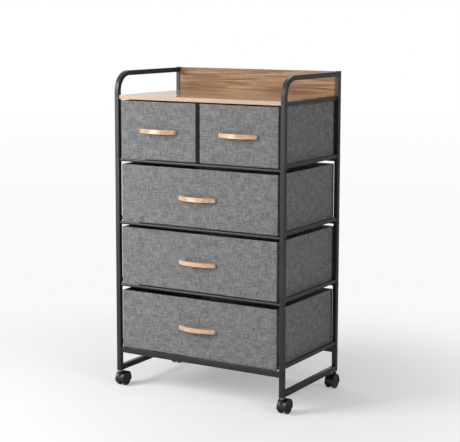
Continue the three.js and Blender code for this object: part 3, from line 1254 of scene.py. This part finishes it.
@dataclass
class ArmPost:
    """A front post of square tube, bent back into the arm at its top."""

    side: str
    size: float = 15.0 * MILLI
    corner: float = 1.7 * MILLI
    corner_steps: int = 4
    bend: float = 54.0 * MILLI
    bend_steps: int = 28

    def outline(self, centre: Vector) -> list[Point]:
        """The rounded square of the tube, seen from above.

        Args:
            centre: The middle of the square.

        Returns:
            Its points, in order.
        """
        points = []
        inner = self.size / 2 - self.corner
        for quarter, (sign_x, sign_y) in enumerate(((1, 1), (-1, 1), (-1, -1), (1, -1))):
            for step in range(self.corner_steps + 1):
                angle = math.pi / 2 * (quarter + step / self.corner_steps)
                x = sign_x * inner + self.corner * math.cos(angle)
                y = sign_y * inner + self.corner * math.sin(angle)
                points.append((centre.x + x, centre.y + y, centre.z))
        return points

    def build(self, finishes: Finishes) -> Piece:
        """Model the post over its CAD tube.

        Args:
            finishes: The dresser's finishes.

        Returns:
            The post, with its arm.
        """
        node = f"{self.side}_front_post"
        low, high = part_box(node)
        foot = Vector(((low.x + high.x) / 2, low.y + self.size / 2, low.z))
        centre = Vector((foot.x, foot.y + self.bend, high.z - self.size / 2 - self.bend))
        upright, run = (0.0, 0.0, centre.z - low.z), (0.0, high.y - centre.y, 0.0)
        piece = Bench.ring(f"{self.side}_arm_post", self.outline(foot))
        Bench.start(piece, Elements.EDGES)
        bpy.ops.mesh.select_all(action="SELECT")
        bpy.ops.mesh.extrude_region_move(TRANSFORM_OT_translate={"value": upright})
        bpy.ops.mesh.spin(steps=self.bend_steps, angle=math.pi / 2, center=centre,
                          axis=Axis.X.direction)
        bpy.ops.mesh.extrude_region_move(TRANSFORM_OT_translate={"value": run})
        Bench.merge()
        Bench.pick(piece, Elements.EDGES, lambda edge: edge.is_boundary)
        bpy.ops.mesh.fill()
        Bench.face_outwards()
        Bench.stop()
        Bench.smooth(piece, angle=35.0)
        dress(piece, finishes.steel)
        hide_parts(node)
        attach(piece, "frame")
        return piece


@dataclass
class BoardBand:
    """The pale band on one cut edge of a board, as a thin strip with eased edges."""

    board: str
    edge: str
    facing: Point
    thickness: float = 0.7 * MILLI
    ease: float = 0.28 * MILLI

    def build(self, finishes: Finishes) -> Piece:
        """Model the strip against its edge.

        Args:
            finishes: The dresser's finishes.

        Returns:
            The strip.
        """
        low, high = (Vector(corner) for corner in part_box(self.board))
        for axis in Axis:
            way = self.facing[axis.value]
            if way > 0.0:
                low[axis.value] = high[axis.value]
                high[axis.value] += self.thickness
            elif way < 0.0:
                high[axis.value] = low[axis.value]
                low[axis.value] -= self.thickness
        piece = Bench.block(f"{self.board}_{self.edge}_band", low, high)
        Bench.soften(piece, self.ease, segments=2, angle=50.0)
        Bench.smooth(piece, angle=40.0)
        dress(piece, finishes.band)
        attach(piece, "frame")
        return piece


@dataclass
class RoundRail:
    """A front rail under a tier of drawers, with its long edges well rounded."""

    tier: int
    corner: float = 4.0 * MILLI
    corner_steps: int = 8

    def build(self, finishes: Finishes) -> Piece:
        """Model the rail over its CAD solid.

        Args:
            finishes: The dresser's finishes.

        Returns:
            The rail.
        """
        node = f"front_rail_{self.tier}"
        low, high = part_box(node)
        piece = Bench.block(f"tier_{self.tier}_round_rail", low, high)
        lengthwise = Bench.runs_along(Axis.X, self.corner)
        Bench.round_edges(piece, lengthwise, self.corner, self.corner_steps)
        Bench.smooth(piece, angle=40.0)
        dress(piece, finishes.steel)
        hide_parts(node)
        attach(piece, "frame")
        return piece


@dataclass
class EasedSolid:
    """A moulded or turned part in the form of its CAD solid, with eased edges and smooth faces.

    Edges sharper than the crease, in degrees, are eased, and faces within the flat angle join.
    """

    node: str
    slot: str
    body: str
    ease: float = 0.35 * MILLI
    crease: float = 28.0
    flat: float = 1.0

    def build(self, finishes: Finishes) -> Piece:
        """Copy the solid's mesh, merge it and ease its edges.

        Args:
            finishes: The dresser's finishes.

        Returns:
            The piece.
        """
        source = frame["nodes"][self.node]
        piece = Bench.copied(source, f"{self.node}_eased", Matrix.Identity(4))
        Bench.start(piece, Elements.POINTS)
        Bench.merge()
        bpy.ops.mesh.dissolve_limited(angle_limit=math.radians(self.flat))
        Bench.stop()
        Bench.soften(piece, self.ease, segments=2, angle=self.crease)
        Bench.smooth(piece, angle=self.crease)
        dress(piece, finishes.of_slot(self.slot))
        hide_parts(self.node)
        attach(piece, self.body)
        return piece


@dataclass
class Screw:
    """A button-head screw with a hex socket, modelled once and copied."""

    radius: float = 3.4 * MILLI
    height: float = 1.9 * MILLI
    dome: float = 1.14 * MILLI
    socket: float = 1.6 * MILLI
    sink: float = 1.1 * MILLI
    sides: int = 18

    def pattern(self) -> Piece:
        """Model the screw's head on the origin, with its top towards +Z.

        Returns:
            The head, which only serves to be copied.
        """
        def is_top(face: bmesh.types.BMFace) -> bool:
            """True for a face that looks up and has as many sides as the head."""
            return face.normal.z > LEVEL and len(face.verts) == self.sides

        bpy.ops.object.select_all(action="DESELECT")
        bpy.ops.mesh.primitive_cylinder_add(
            vertices=self.sides, radius=self.radius, depth=self.height,
            location=(0.0, 0.0, self.height / 2),
        )
        piece = Bench.named("screw_pattern")
        Bench.start(piece, Elements.FACES)
        Bench.pick(piece, Elements.FACES, is_top)
        bpy.ops.mesh.bevel(offset=self.dome, segments=3, affect="EDGES")
        Bench.pick(piece, Elements.FACES, is_top)
        bpy.ops.mesh.inset(thickness=self.radius - self.dome - self.socket)
        bpy.ops.mesh.extrude_region_move(TRANSFORM_OT_translate={"value": (0.0, 0.0, -self.sink)})
        Bench.stop()
        Bench.smooth(piece, angle=30.0)
        return piece

    def copy_at(self, pattern: Piece, name: str, place: Point, facing: Point, body: str,
                material: Material) -> Piece:
        """Put a copy of the head on a surface.

        Args:
            pattern: The head that pattern() made.
            name: The copy's name.
            place: The point of the surface under the middle of the head.
            facing: The direction that the head faces.
            body: The CAD body that it rides on.
            material: Its finish.

        Returns:
            The copy.
        """
        turn = Vector(facing).to_track_quat("Z", "Y").to_matrix().to_4x4()
        piece = Bench.copied(pattern, name, Matrix.Translation(place) @ turn)
        dress(piece, material)
        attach(piece, body)
        return piece


@dataclass
class Caster:
    """A hooded twin-wheel caster: two turned wheels, the fender and the threaded stem.

    A wheel's profile runs from the middle of its hub cap over the tread to its inner face. Each
    point is a distance from the axle and a depth behind the outer face, in millimetres.
    """

    corner: str
    steps: int = 48
    profile: tuple[Span, ...] = (
        (0.0, 1.1), (5.6, 1.1), (6.3, 0.5), (6.3, 1.5), (16.6, 1.5), (17.4, 0.3), (20.2, 0.0),
        (21.4, 0.5), (22.0, 1.5), (22.0, 6.4), (21.4, 7.6), (20.4, 8.0), (18.5, 8.0), (18.5, 5.5),
        (6.0, 5.5), (6.0, 8.0), (2.8, 8.0), (2.8, 3.0), (0.0, 3.0),
    )

    def build(self, finishes: Finishes) -> list[Piece]:
        """Model the caster's pieces over their CAD solids.

        Args:
            finishes: The dresser's finishes.

        Returns:
            The two wheels, the hood and the stem.
        """
        hood = EasedSolid(f"{self.corner}_hood", "black_plastic", f"{self.corner}_swivel_body")
        stem = EasedSolid(f"{self.corner}_stem", "bright_steel", "frame")
        wheels = [self.wheel(number, finishes) for number in (1, 2)]
        return [*wheels, hood.build(finishes), stem.build(finishes)]

    def wheel(self, number: int, finishes: Finishes) -> Piece:
        """Turn one wheel: a round tread, a dished outer face and a hub cap.

        Args:
            number: 1 or 2.
            finishes: The dresser's finishes.

        Returns:
            The wheel.
        """
        node = f"{self.corner}_wheel_{number}"
        low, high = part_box(node)
        hood_low, hood_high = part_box(f"{self.corner}_hood")
        centre = (low + high) / 2
        outward, outer_x = 1.0, high.x
        if low.x + high.x <= hood_low.x + hood_high.x:
            outward, outer_x = -1.0, low.x
        points = []
        for reach, depth in self.profile:
            x = outer_x - outward * min(depth * MILLI, high.x - low.x)
            z = centre.z + min(reach * MILLI, (high.z - low.z) / 2)
            points.append((x, centre.y, z))
        name = f"{self.corner}_turned_wheel_{number}"
        piece = Bench.spun(name, points, centre, Axis.X, self.steps)
        Bench.smooth(piece, angle=40.0)
        dress(piece, finishes.plastic)
        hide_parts(node)
        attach(piece, f"{node}_body")
        return piece


@dataclass
class Dresser:
    """The whole dresser: its kept CAD pieces and the pieces that are modelled here."""

    finishes: Finishes
    bins: tuple[ClothBin, ...] = (
        ClothBin("top_left", left_ease=4.6 * MILLI, right_ease=-1.5 * MILLI, right_flare=0.0),
        ClothBin("top_right", left_ease=0.2 * MILLI, left_flare=0.0, right_flare=5.0 * MILLI),
        ClothBin("tier_2", left_ease=2.6 * MILLI, right_ease=-1.6 * MILLI, right_flare=3.2 * MILLI),
        ClothBin("tier_3", left_ease=3.2 * MILLI, right_ease=-3.0 * MILLI, right_flare=6.0 * MILLI),
        ClothBin("tier_4", left_ease=3.4 * MILLI, right_ease=-2.2 * MILLI, right_flare=4.4 * MILLI),
    )
    bands: tuple[BoardBand, ...] = (
        BoardBand("top_board", "front", (0.0, -1.0, 0.0)),
        BoardBand("back_board", "top", (0.0, 0.0, 1.0)),
        BoardBand("back_board", "left", (-1.0, 0.0, 0.0)),
        BoardBand("back_board", "right", (1.0, 0.0, 0.0)),
    )
    rails: tuple[RoundRail, ...] = (RoundRail(1), RoundRail(2), RoundRail(3))
    casters: tuple[Caster, ...] = (
        Caster("front_left"), Caster("front_right"), Caster("rear_left"), Caster("rear_right"),
    )
    foot_reach: float = 9.0 * MILLI
    screw_inset: float = 9.0 * MILLI

    def build(self) -> None:
        """Dress the CAD nodes, model every detailed piece and report each."""
        self.dress_frame()
        posts = [ArmPost(side) for side in ("left", "right")]
        handles = [BowHandle(cloth_bin.drawer) for cloth_bin in self.bins]
        caps = [EasedSolid(f"{side}_post_cap", "black_plastic", "frame")
                for side in ("left", "right")]
        for part in (*posts, *self.bins, *handles, *self.rails, *self.bands, *caps):
            LOG.info("made %s", part.build(self.finishes).name)
        for caster in self.casters:
            for piece in caster.build(self.finishes):
                LOG.info("made %s", piece.name)
        for piece in self.add_screws():
            LOG.info("made %s", piece.name)

    def dress_frame(self) -> None:
        """Give every CAD node the finish of its slot in the record."""
        for subpart in frame["record"]["subparts"]:
            node = frame["nodes"][subpart["node"]]
            dress(node, self.finishes.of_slot(subpart["material_slot"]))
            LOG.info("dressed %s", node.name)
        # The back board gets the darker copy of the oak: painted shade on its upright face.
        dress(frame["nodes"]["back_board"], self.finishes.shaded_upright_oak)
        # The divider gets the darker copy of the powder coat: painted shade.
        dress(frame["nodes"]["drawer_divider"], self.finishes.shaded_dull_steel)

    def add_screws(self) -> list[Piece]:
        """Put screws on the outer faces of the frame, and two inside the front of each bin.

        Returns:
            The screws.
        """
        screw = Screw()
        pattern = screw.pattern()
        black, bright = self.finishes.plastic, self.finishes.zinc
        made = [screw.copy_at(pattern, name, place, facing, "frame", black)
                for name, place, facing in self.side_screws() + self.back_screws()]
        for cloth_bin in self.bins:
            drawer = cloth_bin.drawer
            low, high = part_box(f"{drawer}_handle")
            inner_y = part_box(f"{drawer}_bin")[0].y + cloth_bin.front_wall
            ends = {"left": low.x + self.foot_reach, "right": high.x - self.foot_reach}
            for end, x in ends.items():
                name = f"{drawer}_{end}_handle_screw"
                place = (x, inner_y, (low.z + high.z) / 2)
                made.append(screw.copy_at(pattern, name, place, (0.0, 1.0, 0.0),
                                          f"{drawer}_drawer", bright))
        bpy.data.objects.remove(pattern)
        return made

    def side_screws(self) -> list[tuple[str, Point, Point]]:
        """Where screws enter the posts at each cross rail, and the board rails at both ends.

        Returns:
            The name, the place and the direction of each screw.
        """
        found = []
        for side, sign in (("left", -1.0), ("right", 1.0)):
            facing = (sign, 0.0, 0.0)
            post_low, post_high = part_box(f"{side}_rear_post")
            face_x = post_high.x if sign > 0 else post_low.x
            for end in ("front", "rear"):
                for tier in range(1, 5):
                    low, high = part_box(f"{end}_rail_{tier}")
                    place = (face_x, (low.y + high.y) / 2, (low.z + high.z) / 2)
                    found.append((f"{side}_{end}_screw_{tier}", place, facing))
            low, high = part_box(f"{side}_board_rail")
            rail_x = high.x if sign > 0 else low.x
            ends = {"front": low.y + self.screw_inset, "rear": high.y - self.screw_inset}
            for end, y in ends.items():
                place = (rail_x, y, (low.z + high.z) / 2)
                found.append((f"{side}_{end}_board_screw", place, facing))
        return found

    def back_screws(self) -> list[tuple[str, Point, Point]]:
        """Where screws hold the back board to the rear posts, from behind.

        Returns:
            The name, the place and the direction of each screw.
        """
        low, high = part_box("back_board")
        found = []
        for side in ("left", "right"):
            post_low, post_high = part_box(f"{side}_rear_post")
            place = ((post_low.x + post_high.x) / 2, post_high.y, (low.z + high.z) / 2)
            found.append((f"{side}_back_board_screw", place, (0.0, 1.0, 0.0)))
        return found


def main() -> None:
    """Build the camera, the studio and the dresser."""
    logging.basicConfig(level=logging.INFO, format="%(name)s: %(message)s")
    bpy.context.scene.view_settings.view_transform = "Standard"
    PhotoCamera().build()
    Studio().build()
    Dresser(Finishes()).build()


if __name__ == "__main__":
    main()
